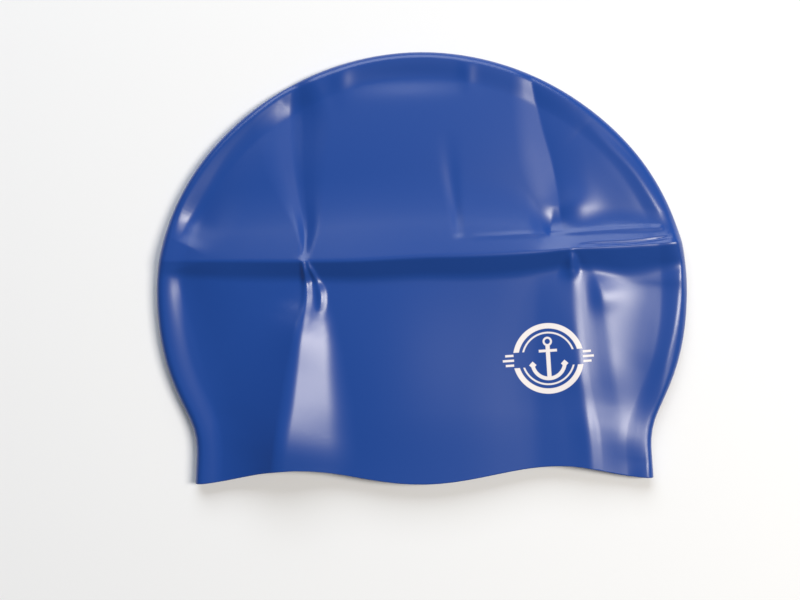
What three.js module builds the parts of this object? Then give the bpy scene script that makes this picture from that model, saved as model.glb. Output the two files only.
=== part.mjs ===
// A moulded silicone swim cap, empty and lying on its back panel, with the creases of its packet.
// Millimetres, +Z up. X runs across the cap and Y from the mouth to the crown. The floor is at Z = 0,
// and the origin is on the floor under the middle of the cap.
import * as THREE from "three";

// Outline, seen from above
const capWidth = 220; // across the widest line
const capLength = 179; // from the lowest point of the rim to the crown
const widestAt = 80.4; // height of the widest line above the rim
const neckWidth = 188; // across the narrowest line, just above the rim
const neckAt = 18.5;
const mouthWidth = 190;
const sideFullness = 42; // how far the sides run straight down from the widest line
const neckFullness = 12; // how far they run straight up from the neck
const crownExponent = 1.93; // 2 makes the crown an ellipse
const shoulderAt = 0.57; // where the grid turns from side to crown, as a share of one side's outline

// Rim
const earRise = 7; // how far the rim rises over each ear
const earAt = 55; // from the middle of the cap
const cornerRise = 1.3; // height of the rim's two corners

// Wall and heights above the floor
const wall = 1;
const edgeHeight = 6.8; // over the rounded edge where the two panels meet
const edgeRun = 3.4; // how far the edge takes to round over
const gutterHeight = 5.6; // lowest line of the front panel, just inside the edge
const gutterRun = 11;
const bodyHeight = 10.4; // the front panel away from its edges
const bodyRun = 80;
const bodySwell = 0.6; // less than 1 makes the front panel rise sooner
const mouthHeight = 8.8; // the front panel at the rim
const mouthRun = 38;

// Creases
const foldRise = 4; // a whole rise in the tables below
const foldReach = 20; // a whole flank in the tables below
const foldCurve = 1.5; // 1 makes a flank straight, more makes its foot softer
const backShare = 0.3; // how much of the front panel's cross crease the back panel has
const backReach = 14;

// Faces
const columns = { left: 9, middle: 16, right: 8 }; // between the edges and the two upright creases
const rows = { below: 13, above: 12 }; // below and above the cross crease
const edgeSteps = 3; // from the panel to the line where the panels meet
const crowding = 0.45; // how much the faces gather at the creases and edges

// Each point of a crease lies at a share of the half width (across) and of the length (along).
// rise is a share of foldRise, below zero for a valley. left and right are the reaches of the two
// flanks as shares of foldReach, as seen along the crease.
const point = (across, along, rise, left, right) => ({ across, along, rise, left, right });

const crossCrease = [
  point(-0.994, 0.522, 0.25, 0.7, 0.35),
  point(-0.723, 0.519, 0.72, 0.9, 0.45),
  point(-0.444, 0.516, 0.9, 0.9, 0.45),
  point(-0.233, 0.516, 1, 1, 0.5),
  point(0.03, 0.522, 1, 1, 0.52),
  point(0.294, 0.524, 1, 0.95, 0.55),
  point(0.464, 0.53, 1, 0.85, 0.5),
  point(0.551, 0.535, 1, 0.75, 0.45),
  point(0.747, 0.541, 0.97, 0.7, 0.75),
  point(0.988, 0.549, 0.35, 0.5, 0.6),
];
const leftCrossing = 2;
const rightCrossing = 7;

const leftUpperCrease = [
  point(-0.444, 0.516, 0, 0.15, 0.2),
  point(-0.436, 0.583, -0.33, 0.22, 0.45),
  point(-0.453, 0.661, -0.52, 0.5, 0.6),
  point(-0.467, 0.74, -0.62, 0.7, 0.7),
  point(-0.478, 0.818, -0.66, 0.75, 0.75),
  point(-0.485, 0.885, -0.55, 0.55, 0.65),
  point(-0.488, 0.93, -0.25, 0.4, 0.45),
];
const rightUpperCrease = [
  point(0.551, 0.535, 0, 0.15, 0.2),
  point(0.508, 0.589, -0.38, 0.27, 0.45),
  point(0.499, 0.667, -0.48, 0.6, 0.65),
  point(0.482, 0.74, -0.53, 0.7, 0.65),
  point(0.46, 0.807, -0.5, 0.6, 0.6),
  point(0.442, 0.868, -0.5, 0.5, 0.55),
  point(0.42, 0.94, -0.2, 0.3, 0.4),
];
const leftLowerCrease = [
  point(-0.444, 0.516, 0.1, 0.25, 0.25),
  point(-0.431, 0.471, 0.55, 0.4, 0.45),
  point(-0.433, 0.416, 0.8, 0.6, 0.85),
  point(-0.454, 0.349, 1, 0.85, 1.2),
  point(-0.474, 0.265, 1.3, 1.1, 1.5),
  point(-0.495, 0.187, 1.5, 1.3, 1.6),
  point(-0.513, 0.131, 1.5, 1.4, 1.5),
  point(-0.527, 0.086, 1.1, 1.4, 1.4),
  point(-0.545, 0.03, 0.6, 1.4, 1.3),
];
const rightLowerCrease = [
  point(0.551, 0.535, 0.1, 0.3, 0.4),
  point(0.567, 0.494, 0.55, 0.6, 0.55),
  point(0.575, 0.449, 0.8, 0.9, 0.8),
  point(0.578, 0.388, 0.9, 1.1, 1),
  point(0.595, 0.315, 0.95, 1.2, 1.2),
  point(0.607, 0.231, 1.1, 1.2, 1.3),
  point(0.633, 0.164, 1.3, 1.1, 1.35),
  point(0.649, 0.108, 1.2, 1, 1.4),
  point(0.656, 0.03, 0.6, 0.9, 1.3),
];
const looseCreases = [
  // the fan of creases right of the right crossing
  [
    point(0.591, 0.522, 0.05, 0.2, 0.15),
    point(0.638, 0.482, 0.2, 0.55, 0.2),
    point(0.66, 0.436, 0.3, 0.9, 0.25),
    point(0.695, 0.322, 0.25, 0.65, 0.3),
    point(0.727, 0.153, 0.05, 0.45, 0.3),
  ],
  // dents inside the left edge, above and below the cross crease
  [
    point(-0.709, 0.768, -0.1, 0.4, 0.75),
    point(-0.791, 0.684, -0.22, 0.4, 0.8),
    point(-0.841, 0.6, -0.4, 0.45, 0.65),
    point(-0.845, 0.55, -0.05, 0.35, 0.5),
  ],
  [
    point(-0.859, 0.494, -0.05, 0.35, 0.8),
    point(-0.84, 0.44, -0.4, 0.5, 0.85),
    point(-0.809, 0.354, -0.28, 0.6, 0.9),
    point(-0.782, 0.265, -0.08, 0.6, 0.9),
  ],
];

const blue = 0x2f55a0;

const mix = THREE.MathUtils.lerp;
const ease = (share) => THREE.MathUtils.smoothstep(share, 0, 1);

// One side of the outline, from the corner of the mouth to the crown
class CrownCurve extends THREE.Curve {
  getPoint(share, target = new THREE.Vector2()) {
    const turn = (share * Math.PI) / 2;
    const x = Math.max(0, Math.cos(turn)) ** (2 / crownExponent);
    const y = Math.max(0, Math.sin(turn)) ** (2 / crownExponent);
    return target.set((capWidth / 2) * x, widestAt + (capLength - widestAt) * y);
  }
}

function makeSide() {
  const corner = new THREE.Vector2(mouthWidth / 2, cornerRise);
  const neck = new THREE.Vector2(neckWidth / 2, neckAt);
  const widest = new THREE.Vector2(capWidth / 2, widestAt);
  const side = new THREE.CurvePath();
  side.add(new THREE.LineCurve(corner, neck));
  side.add(
    new THREE.CubicBezierCurve(
      neck,
      new THREE.Vector2(neck.x, neck.y + neckFullness),
      new THREE.Vector2(widest.x, widest.y - sideFullness),
      widest,
    ),
  );
  side.add(new CrownCurve());
  return side;
}

const sideSamples = 300;
const side = makeSide().getSpacedPoints(sideSamples);

// The outline at a place from -1, the left corner of the mouth, past 0, the crown, to 1, the right corner
function outlineAt(place) {
  const at = (1 - Math.abs(place)) * sideSamples;
  const low = Math.min(Math.floor(at), sideSamples - 1);
  const here = side[low].clone().lerp(side[low + 1], at - low);
  const before = side[Math.max(low - 1, 0)];
  const after = side[Math.min(low + 2, sideSamples)];
  const along = after.clone().sub(before).normalize();
  const outward = new THREE.Vector2(along.y, -along.x);
  const mirror = place < 0 ? -1 : 1;
  here.x *= mirror;
  outward.x *= mirror;
  if (Math.abs(place) < 1e-9) outward.set(0, 1);
  return { here, outward };
}

// How far the rim's curve lies above its lowest point
function rimAt(x) {
  const out = Math.abs(x);
  if (out < earAt) return (earRise * (1 - Math.cos((Math.PI * out) / earAt))) / 2;
  const share = Math.min(1, (out - earAt) / (mouthWidth / 2 - earAt));
  return cornerRise + ((earRise - cornerRise) * (1 + Math.cos(Math.PI * share))) / 2;
}

// A point on the outline, moved inwards by a distance. The mouth's two corners stay on the rim.
function insetAt(place, inwards) {
  const { here, outward } = outlineAt(place);
  const moved = here.clone().addScaledVector(outward, -inwards);
  if (Math.abs(place) === 1) moved.y = rimAt(moved.x);
  return moved;
}

function distanceToOutline(x, y) {
  const out = Math.abs(x);
  let nearest = Infinity;
  for (const p of side) nearest = Math.min(nearest, Math.hypot(p.x - out, p.y - y));
  return nearest;
}

function nearestPlace({ x, y }) {
  let best = 0;
  let nearest = Infinity;
  side.forEach((p, i) => {
    const away = Math.hypot(p.x - Math.abs(x), p.y - y);
    if (away < nearest) [nearest, best] = [away, i];
  });
  return Math.sign(x) * (1 - best / sideSamples);
}

// Creases
const placed = ({ across, along }) => new THREE.Vector2((across * capWidth) / 2, along * capLength);

// The height that a crease adds at a point, from the nearest stretch of its line
function creaseHeight(crease, x, y, curve) {
  let nearest = Infinity;
  let found = 0;
  for (let i = 0; i + 1 < crease.length; i++) {
    const a = placed(crease[i]);
    const b = placed(crease[i + 1]);
    const run = b.clone().sub(a);
    const offset = new THREE.Vector2(x, y).sub(a);
    const share = THREE.MathUtils.clamp(offset.dot(run) / run.lengthSq(), 0, 1);
    const away = offset.clone().addScaledVector(run, -share).length();
    if (away >= nearest) continue;
    nearest = away;
    const value = (key) => mix(crease[i][key], crease[i + 1][key], share);
    const sideways = away < 1e-9 ? 0 : run.cross(offset) / (run.length() * away);
    const reach = foldReach * mix(value("right"), value("left"), (1 + sideways) / 2);
    const level = Math.max(0, 1 - away / reach);
    found = foldRise * value("rise") * curve(level);
  }
  return found;
}

const crisp = (level) => level ** foldCurve;
const soft = (level) => ease(level);

const uprightCreases = [leftUpperCrease, rightUpperCrease, leftLowerCrease, rightLowerCrease];
const frontCreases = [crossCrease, ...uprightCreases, ...looseCreases];

// Heights of the outer faces of the two panels
function frontHeight(x, y) {
  const inside = distanceToOutline(x, y);
  const body = mix(mouthHeight, bodyHeight, ease((y - rimAt(x)) / mouthRun));
  const dip = ease((inside - edgeRun) / (gutterRun - edgeRun));
  const swell = ease(Math.max(0, (inside - gutterRun) / (bodyRun - gutterRun)) ** bodySwell);
  const panel = mix(mix(edgeHeight, gutterHeight, dip), body, swell);
  return frontCreases.reduce((sum, crease) => sum + creaseHeight(crease, x, y, crisp), panel);
}

const backCrease = crossCrease.map((p) => ({ ...p, left: backReach / foldReach, right: backReach / foldReach }));
const backHeight = (x, y) => backShare * creaseHeight(backCrease, x, y, soft);

// The grid follows the creases: six patches, each between an edge or crease on all four sides.
const line = (points) => {
  const path = new THREE.CurvePath();
  points.slice(1).forEach((p, i) => path.add(new THREE.LineCurve(points[i], p)));
  return (share) => path.getPoint(share);
};
const gathered = (share) => share - (crowding * Math.sin(2 * Math.PI * share)) / (2 * Math.PI);

function makePlan() {
  const leftEdge = nearestPlace(placed(crossCrease[0]));
  const rightEdge = nearestPlace(placed(crossCrease.at(-1)));
  const leftTop = nearestPlace(placed(leftUpperCrease.at(-1)));
  const rightTop = nearestPlace(placed(rightUpperCrease.at(-1)));
  const leftFoot = placed(leftLowerCrease.at(-1)).x;
  const rightFoot = placed(rightLowerCrease.at(-1)).x;
  const shoulder = 1 - shoulderAt;
  const inner = (place) => insetAt(place, edgeRun);
  const edge = (from, to) => (share) => inner(mix(from, to, share));
  const rim = (from, to) => (share) => {
    const x = mix(from, to, share);
    return new THREE.Vector2(x, rimAt(x));
  };
  const foot = (x) => new THREE.Vector2(x, rimAt(x));

  const cross = crossCrease.map(placed);
  cross[0] = inner(leftEdge);
  cross[cross.length - 1] = inner(rightEdge);
  const across = [
    line(cross.slice(0, leftCrossing + 1)),
    line(cross.slice(leftCrossing, rightCrossing + 1)),
    line(cross.slice(rightCrossing)),
  ];
  const below = (crease, x) => line([foot(x), ...crease.slice(0, -1).map(placed).reverse()]);
  const above = (crease, place) => line([...crease.slice(0, -1).map(placed), inner(place)]);
  const corner = inner(-1);
  const rims = [rim(corner.x, leftFoot), rim(leftFoot, rightFoot), rim(rightFoot, -corner.x)];
  const tops = [edge(-shoulder, leftTop), edge(leftTop, rightTop), edge(rightTop, shoulder)];
  const lower = [
    edge(-1, leftEdge),
    below(leftLowerCrease, leftFoot),
    below(rightLowerCrease, rightFoot),
    edge(1, rightEdge),
  ];
  const upper = [
    edge(leftEdge, -shoulder),
    above(leftUpperCrease, leftTop),
    above(rightUpperCrease, rightTop),
    edge(rightEdge, shoulder),
  ];
  const counts = [columns.left, columns.middle, columns.right];
  const plan = [];
  counts.forEach((count, c) => {
    for (let i = c ? 1 : 0; i <= count; i++) {
      const s = gathered(i / count);
      const column = [];
      for (let j = 0; j <= rows.below; j++) {
        column.push(patchPoint(rims[c], across[c], lower[c], lower[c + 1], s, gathered(j / rows.below)));
      }
      for (let j = 1; j <= rows.above; j++) {
        column.push(patchPoint(across[c], tops[c], upper[c], upper[c + 1], s, gathered(j / rows.above)));
      }
      plan.push(column);
    }
  });
  return plan;
}

// A point inside four border curves: bottom and top run across, left and right run along
function patchPoint(bottom, top, left, right, s, t) {
  const blend = (weight, point, sum) => sum.addScaledVector(point, weight);
  const sum = new THREE.Vector2();
  blend(1 - t, bottom(s), sum);
  blend(t, top(s), sum);
  blend(1 - s, left(t), sum);
  blend(s, right(t), sum);
  blend(-(1 - s) * (1 - t), bottom(0), sum);
  blend(-s * (1 - t), bottom(1), sum);
  blend(-(1 - s) * t, top(0), sum);
  blend(-s * t, top(1), sum);
  return sum;
}

// The outer surface: front panel, rounded edge and back panel, as points and four-cornered faces.
// loop is the open rim of the mouth, once round.
function makeSkin() {
  const plan = makePlan();
  const lastColumn = plan.length - 1;
  const lastRow = plan[0].length - 1;
  const points = [];
  const faces = [];
  const add = (x, y, z) => points.push(new THREE.Vector3(x, y, z)) - 1;
  const front = plan.map((column) => column.map(({ x, y }) => add(x, y, frontHeight(x, y))));
  const back = plan.map((column) => column.map(({ x, y }) => add(x, y, backHeight(x, y))));
  for (let i = 0; i < lastColumn; i++) {
    for (let j = 0; j < lastRow; j++) {
      faces.push([front[i][j], front[i + 1][j], front[i + 1][j + 1], front[i][j + 1]]);
      faces.push([back[i][j + 1], back[i + 1][j + 1], back[i + 1][j], back[i][j]]);
    }
  }

  // The border of both panels, from the left corner of the mouth over the crown to the right corner
  const border = [];
  for (let j = 0; j <= lastRow; j++) border.push([0, j]);
  for (let i = 1; i <= lastColumn; i++) border.push([i, lastRow]);
  for (let j = lastRow - 1; j >= 0; j--) border.push([lastColumn, j]);
  const bands = border.map(([i, j], n) => {
    const top = points[front[i][j]];
    const bottom = points[back[i][j]];
    const middle = (top.z + bottom.z) / 2;
    const atMouth = n === 0 || n === border.length - 1;
    const place = atMouth ? Math.sign(top.x) : nearestPlace(top);
    const { outward } = outlineAt(place);
    const band = [front[i][j]];
    for (let k = 1; k < 2 * edgeSteps; k++) {
      const turn = (k / (2 * edgeSteps)) * Math.PI;
      const out = edgeRun * Math.sin(turn);
      const x = top.x + outward.x * out;
      const y = atMouth ? rimAt(x) : top.y + outward.y * out;
      band.push(add(x, y, middle + ((top.z - bottom.z) / 2) * Math.cos(turn)));
    }
    band.push(back[i][j]);
    return band;
  });
  for (let n = 0; n + 1 < bands.length; n++) {
    for (let k = 0; k < 2 * edgeSteps; k++) {
      faces.push([bands[n][k + 1], bands[n][k], bands[n + 1][k], bands[n + 1][k + 1]]);
    }
  }
  const loop = [
    ...front.map((column) => column[0]),
    ...bands.at(-1).slice(1, -1),
    ...back.map((column) => column[0]).reverse(),
    ...bands[0].slice(1, -1).reverse(),
  ];
  return { points, faces, loop };
}

function pointNormals(points, faces) {
  const normals = points.map(() => new THREE.Vector3());
  for (const [a, b, c, d] of faces) {
    const normal = points[c].clone().sub(points[a]).cross(points[d].clone().sub(points[b]));
    for (const corner of [a, b, c, d]) normals[corner].add(normal);
  }
  return normals.map((normal) => normal.normalize());
}

// The skin and a copy of it one wall further in, joined round the mouth
function makeShell() {
  const { points, faces, loop } = makeSkin();
  const normals = pointNormals(points, faces);
  const count = points.length;
  const all = [...points, ...points.map((p, i) => p.clone().addScaledVector(normals[i], -wall))];
  const quads = [...faces, ...faces.map((face) => face.map((i) => i + count).reverse())];
  loop.forEach((here, i) => {
    const next = loop[(i + 1) % loop.length];
    quads.push([next, here, here + count, next + count]);
  });
  const index = [];
  for (const [a, b, c, d] of quads) {
    const acShorter = all[a].distanceTo(all[c]) <= all[b].distanceTo(all[d]);
    index.push(...(acShorter ? [a, b, c, a, c, d] : [a, b, d, b, c, d]));
  }
  const geometry = new THREE.BufferGeometry().setFromPoints(all);
  geometry.setIndex(index);
  geometry.computeVertexNormals();
  return geometry;
}

const silicone = new THREE.MeshStandardMaterial({ color: blue, roughness: 0.38, metalness: 0 });
const shell = new THREE.Mesh(makeShell(), silicone);
shell.name = "cap_shell";
shell.geometry.computeBoundingBox();
const { min, max } = shell.geometry.boundingBox;
shell.position.set(-(min.x + max.x) / 2, -(min.y + max.y) / 2, -min.z);

const cap = new THREE.Group();
cap.name = "swim_cap";
cap.add(shell);

export default cap;
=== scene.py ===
import math

import bmesh
import bpy
import numpy as np
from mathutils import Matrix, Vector


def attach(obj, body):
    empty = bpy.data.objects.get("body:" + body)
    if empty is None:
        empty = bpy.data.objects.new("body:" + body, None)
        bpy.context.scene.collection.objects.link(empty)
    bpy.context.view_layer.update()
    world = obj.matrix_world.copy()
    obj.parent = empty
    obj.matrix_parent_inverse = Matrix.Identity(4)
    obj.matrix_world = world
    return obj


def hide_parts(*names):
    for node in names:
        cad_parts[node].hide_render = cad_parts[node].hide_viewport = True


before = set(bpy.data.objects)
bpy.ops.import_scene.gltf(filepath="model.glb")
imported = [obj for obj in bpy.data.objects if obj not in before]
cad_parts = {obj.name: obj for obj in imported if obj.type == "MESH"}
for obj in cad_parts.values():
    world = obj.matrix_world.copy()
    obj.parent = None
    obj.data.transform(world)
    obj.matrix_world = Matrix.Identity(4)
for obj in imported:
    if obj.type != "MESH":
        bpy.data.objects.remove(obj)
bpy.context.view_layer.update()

mm = 0.001
tiny = 1e-9  # lengths under this count as none


def selectOnly(thing):
    bpy.ops.object.select_all(action="DESELECT")
    thing.select_set(True)
    bpy.context.view_layer.objects.active = thing


# Camera, straight above as in the picture
photoView = {
    "lens": 60.0,  # mm
    "sensor": 36.0,  # mm
    "nearest": 0.01,  # metres, what is closer isn't seen
    "acrossPicture": 331.4,  # mm of floor from side to side
    "aim": (-9.1, -13.4, 3.4),
    "turn": -0.8,  # degrees
}


def makeCamera(view):
    away = view["acrossPicture"] * view["lens"] / view["sensor"]
    x, y, z = (value * mm for value in view["aim"])
    turn = (0, 0, math.radians(view["turn"]))
    bpy.ops.object.camera_add(location=(x, y, z + away * mm), rotation=turn)
    camera = bpy.context.object
    camera.data.lens = view["lens"]
    camera.data.sensor_width = view["sensor"]
    camera.data.clip_start = view["nearest"]
    bpy.context.scene.camera = camera


makeCamera(photoView)

# Light: a tall soft window up to the right, a wide soft one beyond the crown, and a dim even room.
# Lengths are in metres and power in watts.
lights = {
    "window": {
        "from": (0.56, 0.03, 0.828),
        "away": 2.0,
        "size": (0.45, 0.9),
        "power": 36.0,
        "color": (1.0, 0.93, 0.82),
    },
    "overhead": {
        "from": (-0.1, 0.78, 0.62),
        "away": 2.0,
        "size": (1.8, 1.4),
        "power": 31.0,
        "color": (0.92, 0.96, 1.0),
    },
    "room": {"color": (0.95, 0.97, 1.0), "strength": 0.1},
}


def addAreaLight(name, settings):
    direction = Vector(settings["from"]).normalized()
    place = direction * settings["away"]
    turn = direction.to_track_quat("Z", "Y").to_euler()
    bpy.ops.object.light_add(type="AREA", location=place, rotation=turn)
    light = bpy.context.object
    light.name = name
    light.data.shape = "RECTANGLE"
    light.data.size, light.data.size_y = settings["size"]
    light.data.energy = settings["power"]
    light.data.color = settings["color"]


def lightRoom(settings):
    world = bpy.data.worlds.new("evenRoom")
    bpy.context.scene.world = world
    world.use_nodes = True
    shader = world.node_tree.nodes["Background"]
    shader.inputs["Color"].default_value = (*settings["color"], 1)
    shader.inputs["Strength"].default_value = settings["strength"]


addAreaLight("windowLight", lights["window"])
addAreaLight("overheadLight", lights["overhead"])
lightRoom(lights["room"])
bpy.context.scene.view_settings.view_transform = "Standard"
print("camera and lights are in place")

# Floor
paleFloor = {
    "side": 4.0,  # metres
    "below": 0.05,  # mm under the cap
    "color": (0.8, 0.82, 0.86, 1),
    "roughness": 0.6,
}


def layFloor(settings):
    place = (0, 0, -settings["below"] * mm)
    bpy.ops.mesh.primitive_plane_add(size=settings["side"], location=place)
    floor = bpy.context.object
    floor.name = "paleFloor"
    paint = bpy.data.materials.new("paleFloor")
    paint.use_nodes = True
    shader = paint.node_tree.nodes["Principled BSDF"]
    shader.inputs["Base Color"].default_value = settings["color"]
    shader.inputs["Roughness"].default_value = settings["roughness"]
    floor.data.materials.append(paint)
    return floor


floor = layFloor(paleFloor)
print("floor is laid")

# Cap. All sizes and places are in millimetres.
capSizes = {
    "wall": 1.0,
    "rimRound": 0.3,  # rounding of the rim's two edges
    "rimSegments": 2,
    "edgeHeight": 6.8,  # over the rounded edge
    "edgeRun": 3.4,  # how far in from the outline the edge is round
    "gutterHeight": 6.3,  # lowest line of the front, just inside the edge
    "gutterRun": 11.0,  # how far in it lies
    "bodyHeight": 9.8,  # the front away from its edges
    "bodyRun": 80.0,  # how far in that height is reached
    "bodyBend": 0.6,  # under 1 the front rises soon, then slowly
    "mouthHeight": 9.2,  # the front at the rim
    "mouthRun": 30.0,  # how far from the rim that height goes over into the other
    "rimAt": -89.4,
    "middleAt": -60.0,  # y of the point that the outline is sorted round
    "mergeWithin": 0.001,  # corners closer than this are one
    "skinLevels": 1,  # how often the copied skin is divided
    "frontCuts": 3,  # extra cuts in each face of the front
    "foldCuts": 6,  # pieces between two points of a fold
    "smoothAngle": 50.0,  # degrees, sharper edges stay sharp
    "mouthFacing": -0.8,  # faces of the cut wall round the mouth look further along -Y
    "upFacing": 0.01,  # faces of the front look further up
}

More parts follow.
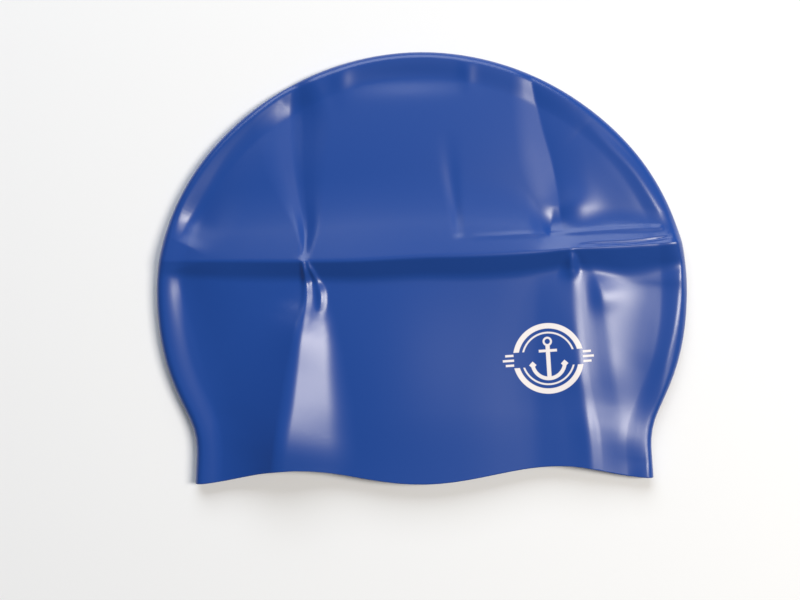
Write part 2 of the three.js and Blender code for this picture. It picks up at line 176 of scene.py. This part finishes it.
# Each point of a fold: x, y, rise, reach to its left and reach to its right, as seen along the fold.
# A fall says which share of a flank is soft at its foot and which share is rounded at its crest.
folds = {
    "cross": {
        "points": [
            (-107, 4.0, 1.0, 20, 7),
            (-92, 3.8, 2.2, 26, 8),
            (-75, 3.5, 3.0, 30, 9),
            (-49, 3.0, 3.8, 33, 9),
            (-26, 3.0, 4.5, 36, 10),
            (0, 4.1, 4.6, 36, 10.5),
            (20, 4.3, 4.6, 34, 11),
            (36, 4.8, 4.5, 31, 10.8),
            (44, 5.2, 4.4, 27, 10.4),
            (50, 5.6, 4.3, 19, 9.8),
            (56, 6.2, 4.3, 15, 9.3),
            (62, 6.6, 4.2, 15.5, 9),
            (72, 6.9, 4.3, 16.5, 11),
            (86, 7.4, 4.4, 17, 13.5),
            (96, 8.0, 4.3, 15, 13),
            (103, 8.6, 3.6, 12, 12),
            (108, 8.9, 2.0, 9, 10),
        ],
        "leftFall": (0.6, 0.03),
        "rightFall": (0.4, 0.1),
    },
    "leftUpper": {
        "points": [
            (-48.9, 3.0, 0.0, 3, 4),
            (-47.8, 9.0, -0.9, 2.6, 4.5),
            (-47.7, 15.0, -1.45, 4.0, 6.5),
            (-48.2, 21.0, -1.55, 6, 8),
            (-49.4, 29.0, -1.5, 9, 10),
            (-50.9, 43.0, -1.8, 14, 13),
            (-51.6, 57.0, -2.4, 17, 16),
            (-51.8, 66.0, -2.6, 17, 15),
            (-51.6, 73.0, -1.9, 13, 12),
            (-51.6, 79.0, -0.9, 10, 9),
        ],
        "leftFall": (0.6, 0.12),
        "rightFall": (0.5, 0.25),
    },
    "rightUpper": {
        "points": [
            (60.0, 9.0, 0.0, 4, 6),
            (58.4, 14.0, -0.2, 5.0, 9),
            (57.6, 19.0, -0.6, 7.0, 10),
            (57.2, 24.0, -0.9, 9, 11),
            (56.6, 30.0, -1.2, 11.5, 13),
            (54.2, 43.0, -1.4, 14, 14),
            (51.0, 55.0, -1.3, 12.5, 14),
            (48.6, 66.0, -1.1, 11, 15),
            (47.0, 74.0, -0.9, 9.5, 13),
            (46.0, 80.0, -0.5, 8, 8),
        ],
        "leftFall": (0.6, 0.06),
        "rightFall": (1.0, 0.02),
    },
    "hotSpot": {
        "points": [
            (52.6, 11.5, 0.0, 3, 5),
            (53.0, 14.8, -0.75, 4, 8),
            (53.6, 18.8, -0.62, 5.5, 9),
            (54.4, 24.0, 0.0, 6, 8),
        ],
        "leftFall": (0.7, 0.12),
        "rightFall": (0.9, 0.1),
    },
    "leftLower": {
        "points": [
            (-48.8, 2.7, 0.2, 5, 5),
            (-47.8, -5.0, 0.5, 8, 9),
            (-48.1, -13.0, 1.5, 11, 15),
            (-49.4, -20.0, 3.1, 15, 20),
            (-51.2, -28.0, 4.6, 18.5, 24),
            (-53.6, -42.0, 5.6, 23.5, 30),
            (-55.9, -56.0, 6.9, 28, 32),
            (-57.9, -66.0, 7.8, 31, 30),
            (-59.1, -73.0, 7.9, 32, 29),
            (-60.2, -80.0, 7.2, 31, 27),
            (-61.0, -88.0, 5.9, 30, 26),
        ],
        "leftFall": (0.42, 0.13),
        "rightFall": (0.9, 0.1),
    },
    "rightLower": {
        "points": [
            (60.6, 6.1, 0.2, 6, 8),
            (61.2, 0.0, 0.4, 16, 14),
            (61.8, -9.0, 0.62, 24, 20),
            (62.2, -20.0, 0.7, 28, 24),
            (63.2, -33.0, 0.85, 32, 26),
            (64.2, -46.0, 1.0, 32, 28),
            (65.6, -57.0, 0.8, 32, 28),
            (67.0, -68.0, 0.95, 30, 28),
            (68.4, -80.0, 1.0, 28, 28),
            (69.0, -90.0, 0.9, 26, 28),
        ],
        "leftFall": (0.9, 0.1),
        "rightFall": (0.5, 0.05),
    },
    "rightLip": {
        "points": [
            (60.9, 5.4, 0.1, 2.0, 2.5),
            (61.1, 2.5, 1.2, 3.6, 4),
            (61.2, 0.0, 1.7, 4.4, 5),
            (61.4, -2.5, 1.3, 4.4, 6),
            (61.7, -6.0, 0.32, 4.2, 7),
            (61.9, -11.0, 0.08, 4.0, 7),
            (62.2, -20.0, 0.08, 4.0, 8),
            (63.2, -33.0, 0.16, 4.0, 9),
            (64.6, -46.0, 0.32, 4.0, 9),
            (66.2, -57.0, 0.34, 4.2, 10),
            (67.6, -68.0, 0.6, 5.0, 10),
            (68.6, -80.0, 0.45, 5.0, 10),
            (69.0, -90.0, 0.3, 5.0, 10),
        ],
        "leftFall": (0.4, 0.3),
        "rightFall": (0.6, 0.2),
    },
    "fan": {
        "points": [
            (66.0, 4.0, 0.05, 3, 2),
            (70.6, -3.1, 0.2, 7, 5.0),
            (72.8, -8.5, 0.7, 12, 6.5),
            (74.2, -14.0, 0.95, 19, 7.4),
            (75.5, -21.5, 0.38, 19, 8.5),
            (77.0, -31.8, 0.28, 16, 9.5),
            (78.4, -44.0, 0.4, 13, 10),
            (80.0, -58.0, 0.1, 9, 9),
        ],
        "leftFall": (0.9, 0.1),
        "rightFall": (0.5, 0.2),
    },
    "secondRidge": {
        "points": [
            (22.0, 11.9, 0.05, 1.6, 2.0),
            (47.0, 12.9, 0.2, 1.6, 2.0),
            (61.5, 13.4, 0.28, 1.5, 2.2),
            (77.0, 14.4, 0.4, 1.6, 2.6),
            (98.0, 15.0, 0.3, 1.6, 2.6),
        ],
        "leftFall": (0.5, 0.3),
        "rightFall": (0.7, 0.3),
    },
    "crestGroove": {
        "points": [
            (63.0, 7.9, 0.0, 0.9, 0.9),
            (70.0, 8.3, -0.36, 1.1, 0.9),
            (86.0, 8.8, -0.4, 1.1, 1.0),
            (98.0, 10.2, -0.34, 1.1, 1.0),
            (103.0, 11.2, 0.0, 1.0, 1.0),
        ],
        "leftFall": (0.4, 0.4),
        "rightFall": (0.4, 0.4),
    },
    "leftGutterAbove": {
        "points": [
            (-58.0, 69.0, -0.3, 10, 8),
            (-66.0, 61.0, -0.6, 13, 8),
            (-78.0, 48.0, -0.8, 16, 8),
            (-87.0, 34.0, -1.3, 18, 9.5),
            (-93.5, 23.0, -1.9, 18, 9.5),
            (-96.5, 16.5, -1.1, 18, 8),
            (-99.0, 11.5, -0.1, 16, 6),
        ],
        "leftFall": (0.8, 0.3),
        "rightFall": (0.5, 0.2),
    },
    "rightPillow": {
        "points": [
            (106.0, 0.0, 1.0, 5, 26),
            (105.5, -6.0, 1.3, 5, 27),
            (105.0, -12.0, 0.9, 5, 24),
            (103.0, -26.0, 1.1, 5, 26),
            (100.0, -38.0, 0.9, 5, 24),
            (97.0, -49.0, 0.2, 5, 18),
            (94.0, -60.0, -0.5, 5, 14),
            (91.5, -70.0, -0.6, 5, 12),
            (90.0, -80.0, -0.3, 5, 12),
        ],
        "leftFall": (0.4, 0.4),
        "rightFall": (0.5, 0.3),
    },
    "upperRightPillow": {
        "points": [
            (102.0, 12.5, 0.3, 20, 6),
            (98.0, 19.5, 1.3, 24, 6),
            (92.5, 29.0, 1.6, 26, 6),
            (86.0, 38.5, 1.4, 26, 6),
            (77.0, 48.0, 1.0, 22, 6),
            (68.0, 57.0, 0.3, 16, 6),
        ],
        "leftFall": (0.5, 0.3),
        "rightFall": (0.4, 0.4),
    },
    "printValley": {
        "points": [
            (46.0, -4.0, -0.1, 14, 30),
            (45.0, -20.0, -0.6, 18, 60),
            (44.0, -40.0, -0.9, 22, 66),
            (44.0, -60.0, -1.0, 24, 66),
            (44.0, -90.0, -0.9, 26, 66),
        ],
        "leftFall": (0.4, 0.2),
        "rightFall": (0.7, 0.2),
    },
    "leftGutterBelow": {
        "points": [
            (-100.0, 1.0, -0.2, 20, 6.5),
            (-98.5, -6.0, -1.1, 22, 9),
            (-96.5, -14.0, -1.2, 24, 11),
            (-92.5, -28.0, -1.0, 26, 13),
            (-88.5, -42.0, -0.7, 26, 14),
            (-84.0, -58.0, -0.3, 22, 14),
        ],
        "leftFall": (0.8, 0.3),
        "rightFall": (0.5, 0.2),
    },
    "crownStreak": {
        "points": [
            (11.0, 52.0, -0.1, 7, 6),
            (12.6, 36.0, -0.35, 5, 5),
            (14.6, 22.0, -0.6, 3, 4),
            (15.4, 14.0, -0.3, 2.5, 4),
        ],
        "leftFall": (0.6, 0.3),
        "rightFall": (0.6, 0.3),
    },
    "leftStreak": {
        "points": [
            (-48.6, 3.6, 0.1, 1.2, 1.5),
            (-48.2, 1.5, 0.8, 1.8, 2.0),
            (-47.8, -1.0, 1.5, 2.4, 2.5),
            (-47.5, -3.5, 1.5, 2.6, 3),
            (-47.3, -7.0, 0.8, 2.6, 3),
            (-47.3, -12.0, 0.6, 2.6, 3),
            (-48.2, -18.0, 0.3, 2.8, 3),
            (-49.2, -24.0, 0.0, 3, 3),
        ],
        "leftFall": (0.3, 0.1),
        "rightFall": (0.5, 0.2),
    },
    "comma": {
        "points": [
            (-46.6, 2.4, 0.2, 1.2, 1.4),
            (-45.6, 0.0, 0.9, 1.6, 1.8),
            (-44.4, -2.5, 0.9, 1.8, 2.0),
            (-42.6, -6.0, 0.5, 2.0, 2.4),
            (-41.6, -9.5, 0.85, 3.0, 3.0),
            (-41.4, -13.5, 0.8, 3.0, 3.0),
            (-41.8, -18.0, 0.1, 3.0, 3.0),
        ],
        "leftFall": (0.3, 0.1),
        "rightFall": (0.6, 0.3),
    },
}

# Soft dents and swellings of the front: x, y, rise, and the two radii
swellings = [
    (63.5, 24.0, 1.0, 8, 8),
    (-14.0, -42.0, 1.2, 26, 34),
    (83.0, -72.0, 0.75, 9, 9),
    (-32.0, 78.0, 0.5, 4, 8),
    (20.0, 79.0, 0.4, 3, 6),
    (-4.0, 78.0, -0.7, 28, 6),
]


def distanceToLine(x, y, points):
    nearest = np.full(x.shape, np.inf)
    share = np.zeros(x.shape)
    piece = np.zeros(x.shape, int)
    side = np.zeros(x.shape)
    for i in range(len(points) - 1):
        (ax, ay), (bx, by) = points[i], points[i + 1]
        runX, runY = bx - ax, by - ay
        length = math.hypot(runX, runY)
        if length < tiny:
            continue
        along = np.clip(((x - ax) * runX + (y - ay) * runY) / length**2, 0, 1)
        offX, offY = x - ax - along * runX, y - ay - along * runY
        away = np.hypot(offX, offY)
        closer = away < nearest
        nearest = np.where(closer, away, nearest)
        share = np.where(closer, along, share)
        piece = np.where(closer, i, piece)
        leftwards = (runX * offY - runY * offX) / (length * np.maximum(away, tiny))
        side = np.where(closer, leftwards, side)
    return nearest, piece, share, side


def ease(share):
    share = np.clip(share, 0, 1)
    return share * share * (3 - 2 * share)


def mix(a, b, share):
    return a + (b - a) * share


def finerTable(points, cuts):
    table = np.array(points, float)
    ends = np.vstack([2 * table[0] - table[1], table, 2 * table[-1] - table[-2]])
    rows = []
    for before, start, end, after in zip(ends[:-3], ends[1:-2], ends[2:-1], ends[3:]):
        for t in np.arange(cuts) / cuts:
            bend = 2 * before - 5 * start + 4 * end - after
            twist = 3 * (start - end) + after - before
            rows.append(start + t / 2 * (end - before + t * (bend + t * twist)))
    return np.vstack([rows, table[-1:]])


def foldHeight(fold, x, y):
    table = finerTable(fold["points"], capSizes["foldCuts"])
    away, piece, share, side = distanceToLine(x, y, table[:, :2])
    rise, leftReach, rightReach = (mix(table[piece, i], table[piece + 1, i], share) for i in (2, 3, 4))
    leftwards = (1 + side) / 2
    reach = mix(rightReach, leftReach, leftwards)
    foot, crest = (mix(fold["rightFall"][i], fold["leftFall"][i], leftwards) for i in range(2))
    level = np.clip(1 - away / reach, 0, 1)
    straight = np.where(level < foot, level**2 / (2 * foot), level - foot / 2)
    topped = np.clip(level - 1 + crest, 0, None) ** 2 / (2 * crest)
    return rise * (straight - topped) / (1 - foot / 2 - crest / 2)


def frontHeight(x, y, inside):
    s = capSizes
    body = mix(s["mouthHeight"], s["bodyHeight"], ease((y - s["rimAt"]) / s["mouthRun"]))
    dip = ease((inside - s["edgeRun"]) / (s["gutterRun"] - s["edgeRun"]))
    inwards = np.clip((inside - s["gutterRun"]) / (s["bodyRun"] - s["gutterRun"]), 0, 1)
    swell = ease(inwards ** s["bodyBend"])
    height = mix(mix(s["edgeHeight"], s["gutterHeight"], dip), body, swell)
    for fold in folds.values():
        height = height + foldHeight(fold, x, y)
    for swellX, swellY, rise, radiusX, radiusY in swellings:
        offX, offY = (x - swellX) / radiusX, (y - swellY) / radiusY
        height = height + rise * np.exp(-(offX**2) - offY**2)
    return height


def copyCadShell():
    cap = bpy.data.objects.new("swimCap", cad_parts["cap_shell"].data.copy())
    bpy.context.scene.collection.objects.link(cap)
    selectOnly(cap)
    bpy.context.tool_settings.mesh_select_mode = (False, False, True)
    bpy.ops.object.mode_set(mode="EDIT")
    bpy.ops.mesh.select_all(action="SELECT")
    bpy.ops.mesh.remove_doubles(threshold=capSizes["mergeWithin"] * mm)
    bpy.ops.mesh.customdata_custom_splitnormals_clear()
    bpy.ops.mesh.tris_convert_to_quads(face_threshold=math.pi, shape_threshold=math.pi)
    bpy.ops.mesh.select_all(action="DESELECT")
    bpy.ops.object.mode_set(mode="OBJECT")
    return cap


def keepOuterSkin(cap):
    for face in cap.data.polygons:
        face.select = face.normal.y < capSizes["mouthFacing"]
    bpy.ops.object.mode_set(mode="EDIT")
    bpy.ops.mesh.delete(type="FACE")
    bpy.ops.mesh.select_all(action="SELECT")
    bpy.ops.mesh.separate(type="LOOSE")
    bpy.ops.object.mode_set(mode="OBJECT")
    skins = sorted(bpy.context.selected_objects, key=lambda skin: skin.dimensions.x)
    for skin in skins[:-1]:
        bpy.data.objects.remove(skin)
    outer = skins[-1]
    outer.name = "swimCap"
    selectOnly(outer)
    return outer


def applyModifier(thing, kind, **settings):
    modifier = thing.modifiers.new(kind.lower(), kind)
    for name, value in settings.items():
        setattr(modifier, name, value)
    selectOnly(thing)
    bpy.ops.object.modifier_apply(modifier=modifier.name)


def widestLine(cap):
    mesh = bmesh.new()
    mesh.from_mesh(cap.data)
    ring = set()
    for edge in mesh.edges:
        if len(edge.link_faces) != 2:
            continue
        a, b = (face.normal.z > capSizes["upFacing"] for face in edge.link_faces)
        if a != b:
            ring.update(vert.index for vert in edge.verts)
    topFaces = [face for face in mesh.faces if face.normal.z > capSizes["upFacing"]]
    upper = {vert.index for face in topFaces for vert in face.verts}
    mesh.free()
    return np.array(sorted(ring)), np.array(sorted(upper))


def thickenWall(cap):
    applyModifier(
        cap,
        "SOLIDIFY",
        thickness=capSizes["wall"] * mm,
        offset=-1,
        use_even_offset=True,
        use_quality_normals=True,
    )


def cutFrontFiner(cap, skinFaces):
    for face in cap.data.polygons:
        face.select = face.index < skinFaces and face.normal.z > capSizes["upFacing"]
    bpy.ops.object.mode_set(mode="EDIT")
    bpy.ops.mesh.subdivide(number_cuts=capSizes["frontCuts"])
    bpy.ops.mesh.select_all(action="DESELECT")
    bpy.ops.object.mode_set(mode="OBJECT")


def shapeFront(cap, ring, upper, skinCorners):
    places = np.empty(len(cap.data.vertices) * 3)
    cap.data.vertices.foreach_get("co", places)
    places = places.reshape(-1, 3) / mm
    line = places[ring]
    line = line[np.argsort(np.arctan2(line[:, 0], line[:, 1] - capSizes["middleAt"]))]
    x, y = places[:, 0], places[:, 1]
    inside, piece, share = distanceToLine(x, y, line[:, :2])[:3]
    isUpper = np.ones(len(places), bool)
    isUpper[: 2 * skinCorners] = False
    isUpper[upper] = True
    isUpper[upper + skinCorners] = True
    isInner = np.zeros(len(places), bool)
    isInner[skinCorners : 2 * skinCorners] = True
    wall = np.where(isInner, capSizes["wall"], 0)
    newRing = frontHeight(line[:, 0], line[:, 1], np.zeros(len(line))) / 2
    ringNow = mix(newRing[piece], newRing[piece + 1], share)
    ringWas = mix(line[piece, 2], line[piece + 1, 2], share)
    turn = np.clip((inside - wall) / (capSizes["edgeRun"] - wall), 0, 1)
    rounded = np.sqrt(1 - (1 - turn) ** 2)
    front = frontHeight(x, y, inside) - wall
    back = places[:, 2] + (ringNow - ringWas) * (1 - rounded)
    places[:, 2] = np.where(isUpper, mix(ringNow, front, rounded), back)
    cap.data.vertices.foreach_set("co", (places * mm).ravel())
    cap.data.update()


def roundRim(cap):
    rim = set()
    others = set()
    for face in cap.data.polygons:
        (rim if face.normal.y < capSizes["mouthFacing"] else others).update(face.edge_keys)
    corners = rim & others
    bpy.ops.object.mode_set(mode="EDIT")
    bpy.context.tool_settings.mesh_select_mode = (False, True, False)
    bpy.ops.mesh.select_all(action="DESELECT")
    bpy.ops.object.mode_set(mode="OBJECT")
    for edge in cap.data.edges:
        edge.select = edge.key in corners
    bpy.ops.object.mode_set(mode="EDIT")
    rounding = capSizes["rimRound"] * mm
    bpy.ops.mesh.bevel(offset=rounding, segments=capSizes["rimSegments"], affect="EDGES")
    bpy.ops.object.mode_set(mode="OBJECT")


cap = copyCadShell()
print("cap copy:", len(cap.data.polygons), "faces")
cap = keepOuterSkin(cap)
print("outer skin:", len(cap.data.polygons), "faces")

levels = capSizes["skinLevels"]
applyModifier(cap, "SUBSURF", levels=levels, render_levels=levels)
ring, upper = widestLine(cap)
skinCorners, skinFaces = len(cap.data.vertices), len(cap.data.polygons)
thickenWall(cap)
cutFrontFiner(cap, skinFaces)
print("wall with a finer front:", len(cap.data.polygons), "faces")

shapeFront(cap, ring, upper, skinCorners)
print("front is folded")

selectOnly(cap)
roundRim(cap)
bpy.ops.object.shade_smooth_by_angle(angle=math.radians(capSizes["smoothAngle"]))
print("rim is rounded:", sum(len(face.vertices) - 2 for face in cap.data.polygons), "triangles")

# Silicone
silicone = {
    "color": (0.0105, 0.057, 0.29, 1),
    "roughness": 0.31,
    "ior": 1.42,
    "coat": 0.4,
    "coatRoughness": 0.25,
}


def makeSilicone():
    material = bpy.data.materials.new("blueSilicone")
    material.use_nodes = True
    tree = material.node_tree
    shader = tree.nodes["Principled BSDF"]
    shader.inputs["IOR"].default_value = silicone["ior"]
    shader.inputs["Coat Roughness"].default_value = silicone["coatRoughness"]
    shader.inputs["Coat IOR"].default_value = silicone["ior"]
    place = tree.nodes.new("ShaderNodeTexCoord")
    return material, tree, shader, place


material, tree, shader, place = makeSilicone()


def mathNode(operation, a, b=None, c=None):
    node = tree.nodes.new("ShaderNodeMath")
    node.operation = operation
    for socket, value in zip(node.inputs, (a, b, c)):
        if value is None:
            continue
        if isinstance(value, (int, float)):
            socket.default_value = value
        else:
            tree.links.new(value, socket)
    return node.outputs[0]


# Print: an anchor between two arcs, drawn from distances in millimetres round its middle
emblem = {
    "middle": (51.4, -38.2),
    "turn": 3.0,  # degrees
    "arcRadius": 13.4,
    "arcWidth": 2.2,
    "innerArcRadius": 10.6,
    "innerArcWidth": 0.7,
    "arcGap": 3.2,  # half height of the gap at each side
    "shankTop": 5.4,
    "shankFoot": -8.2,
    "shankWidth": 1.7,
    "stockAt": 3.2,
    "stockLength": 7.4,
    "stockWidth": 1.08,
    "eyeAt": 7.0,
    "eyeRadius": 1.5,
    "eyeWidth": 0.8,
    "armAt": -1.6,
    "armRadius": 6.6,
    "armWidth": 1.5,
    "flukeAt": (6.5, -2.4),
    "flukeSize": 1.5,
    "sideBars": ((16.4, 0.0, 4.6), (15.9, -2.0, 3.4), (15.9, 2.0, 3.4)),  # x, y, length
    "barWidth": 0.9,
    "soft": 0.12,  # half width of the ink's edge
    "above": 4.0,  # only surfaces higher than this carry ink
    "facingUp": 0.2,  # and only those that look further up
    "ink": (0.8, 0.76, 0.78, 1),
    "inkRoughness": 0.5,
    "inkCoat": 0.0,
}


def drawEmblem():
    e = emblem
    parts = tree.nodes.new("ShaderNodeSeparateXYZ")
    tree.links.new(place.outputs["Object"], parts.inputs[0])
    normal = tree.nodes.new("ShaderNodeSeparateXYZ")
    tree.links.new(place.outputs["Normal"], normal.inputs[0])
    u = mathNode("SUBTRACT", mathNode("MULTIPLY", parts.outputs[0], 1 / mm), e["middle"][0])
    v = mathNode("SUBTRACT", mathNode("MULTIPLY", parts.outputs[1], 1 / mm), e["middle"][1])
    turn = math.radians(e["turn"])
    cosine, sine = math.cos(turn), math.sin(turn)
    x = mathNode("ADD", mathNode("MULTIPLY", u, cosine), mathNode("MULTIPLY", v, sine))
    y = mathNode("SUBTRACT", mathNode("MULTIPLY", v, cosine), mathNode("MULTIPLY", u, sine))
    side = mathNode("ABSOLUTE", x)

    def away(fromX, fromY):
        dx = mathNode("SUBTRACT", side, fromX)
        dy = mathNode("SUBTRACT", y, fromY)
        squares = mathNode("ADD", mathNode("MULTIPLY", dx, dx), mathNode("MULTIPLY", dy, dy))
        return mathNode("SQRT", squares)

    def ring(centreY, radius, width):
        offCircle = mathNode("SUBTRACT", away(0, centreY), radius)
        return mathNode("SUBTRACT", mathNode("ABSOLUTE", offCircle), width / 2)

    def bar(centreX, centreY, halfX, halfY):
        overX = mathNode("SUBTRACT", mathNode("ABSOLUTE", mathNode("SUBTRACT", side, centreX)), halfX)
        overY = mathNode("SUBTRACT", mathNode("ABSOLUTE", mathNode("SUBTRACT", y, centreY)), halfY)
        return mathNode("MAXIMUM", overX, overY)

    outOfGap = mathNode("SUBTRACT", e["arcGap"], mathNode("ABSOLUTE", y))
    arcs = mathNode("MAXIMUM", ring(0, e["arcRadius"], e["arcWidth"]), outOfGap)
    innerArcs = mathNode("MAXIMUM", ring(0, e["innerArcRadius"], e["innerArcWidth"]), outOfGap)
    shankHalf = (e["shankTop"] - e["shankFoot"]) / 2
    shank = bar(0, e["shankFoot"] + shankHalf, e["shankWidth"] / 2, shankHalf)
    stock = bar(0, e["stockAt"], e["stockLength"] / 2, e["stockWidth"] / 2)
    eye = ring(e["eyeAt"], e["eyeRadius"], e["eyeWidth"])
    armRing = ring(e["armAt"], e["armRadius"], e["armWidth"])
    arms = mathNode("MAXIMUM", armRing, mathNode("SUBTRACT", y, e["armAt"]))
    flukeX = mathNode("ABSOLUTE", mathNode("SUBTRACT", side, e["flukeAt"][0]))
    flukeY = mathNode("ABSOLUTE", mathNode("SUBTRACT", y, e["flukeAt"][1]))
    flukes = mathNode("SUBTRACT", mathNode("ADD", flukeX, flukeY), e["flukeSize"])
    shapes = [arcs, innerArcs, shank, stock, eye, arms, flukes]
    shapes += [bar(barX, barY, length / 2, e["barWidth"] / 2) for barX, barY, length in e["sideBars"]]
    nearest = shapes[0]
    for shape in shapes[1:]:
        nearest = mathNode("MINIMUM", nearest, shape)
    ink = tree.nodes.new("ShaderNodeMapRange")
    tree.links.new(nearest, ink.inputs["Value"])
    ink.inputs["From Min"].default_value = e["soft"]
    ink.inputs["From Max"].default_value = -e["soft"]
    isHigh = mathNode("GREATER_THAN", parts.outputs[2], e["above"] * mm)
    facesUp = mathNode("GREATER_THAN", normal.outputs[2], e["facingUp"])
    onFront = mathNode("MULTIPLY", isHigh, facesUp)
    return mathNode("MULTIPLY", ink.outputs["Result"], onFront)


mixSockets = {"RGBA": (6, 7, 2), "FLOAT": (2, 3, 0)}  # two inputs and the output of a Mix node


def blendByInk(inkShare, plain, printed, socket, kind):
    node = tree.nodes.new("ShaderNodeMix")
    node.data_type = kind
    bare, inked, result = mixSockets[kind]
    tree.links.new(inkShare, node.inputs["Factor"])
    node.inputs[bare].default_value = plain
    node.inputs[inked].default_value = printed
    tree.links.new(node.outputs[result], socket)


inkShare = drawEmblem()
blendByInk(inkShare, silicone["color"], emblem["ink"], shader.inputs["Base Color"], "RGBA")
blendByInk(inkShare, silicone["roughness"], emblem["inkRoughness"], shader.inputs["Roughness"], "FLOAT")
blendByInk(inkShare, silicone["coat"], emblem["inkCoat"], shader.inputs["Coat Weight"], "FLOAT")
print("silicone and print are ready")

cap.data.materials.clear()
cap.data.materials.append(material)
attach(cap, "root")
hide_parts("cap_shell")
